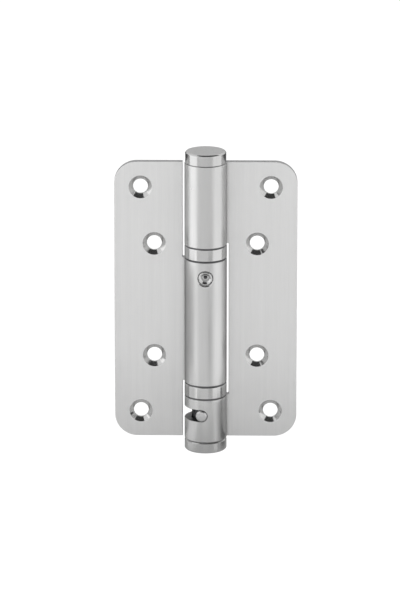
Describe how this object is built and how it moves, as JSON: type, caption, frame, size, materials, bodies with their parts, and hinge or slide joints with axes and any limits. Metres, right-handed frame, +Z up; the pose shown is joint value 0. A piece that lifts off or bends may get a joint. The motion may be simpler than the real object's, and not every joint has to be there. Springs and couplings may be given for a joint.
{
  "type": "spring hinge",
  "caption": "Self-closing butt hinge with two leaves, rolled barrel knuckles, an inner torsion spring, a tension pin in a slot and a locking set screw.",
  "frame": {"origin": "on the pin axis, at mid-height", "axes": "+Z up along the pin axis; +X towards the frame leaf's outer edge and -X towards the door leaf's, with the leaves flat open; -Y out of the faces with the countersinks"},
  "size_m": [0.08, 0.0193, 0.1354],
  "materials": {
    "leaf_steel": "satin ground",
    "cap_steel": "satin ground",
    "ring_steel": "satin ground",
    "turned_steel": "black oxide, oiled",
    "washer_black": "plain moulded",
    "bush_polymer": "plain moulded",
    "screw_steel": "turned, fine satin",
    "pin_steel": "turned, fine satin",
    "spring_wire": "oiled spring wire"
  },
  "bodies": {
    "frame_side": {"frame_leaf": "leaf_steel", "top_cap": "cap_steel", "bottom_cap": "cap_steel", "upper_outer_washer": "washer_black", "upper_bearing_ring": "ring_steel", "lower_bearing_ring": "ring_steel", "lower_outer_washer": "washer_black", "spindle_bush": "bush_polymer", "rotor_thrust_washer": "washer_black"},
    "door_side": {"door_leaf": "leaf_steel", "upper_inner_washer": "washer_black", "lower_inner_washer": "washer_black", "pivot_spindle": "turned_steel", "spindle_clip": "spring_wire", "locking_screw": "screw_steel", "torsion_spring": "spring_wire", "spring_guide": "turned_steel", "rotor_neck_bush": "bush_polymer"},
    "tensioner": {"tension_rotor": "turned_steel", "tension_pin": "pin_steel"}
  },
  "joints": [
    {"name": "door_swing", "type": "hinge", "parent": "frame_side", "child": "door_side", "pos_m": [0, 0, 0], "axis": [0, 0, 1], "range_deg": [0, 180], "stiffness_Nm_per_rad": 0.8, "springref_deg": 200.54, "deforming": ["torsion_spring"]},
    {"name": "tension_turn", "type": "hinge", "parent": "frame_side", "child": "tensioner", "pos_m": [0, 0, 0], "axis": [0, 0, 1], "range_deg": [-120, 0], "deforming": ["torsion_spring"]}
  ]
}
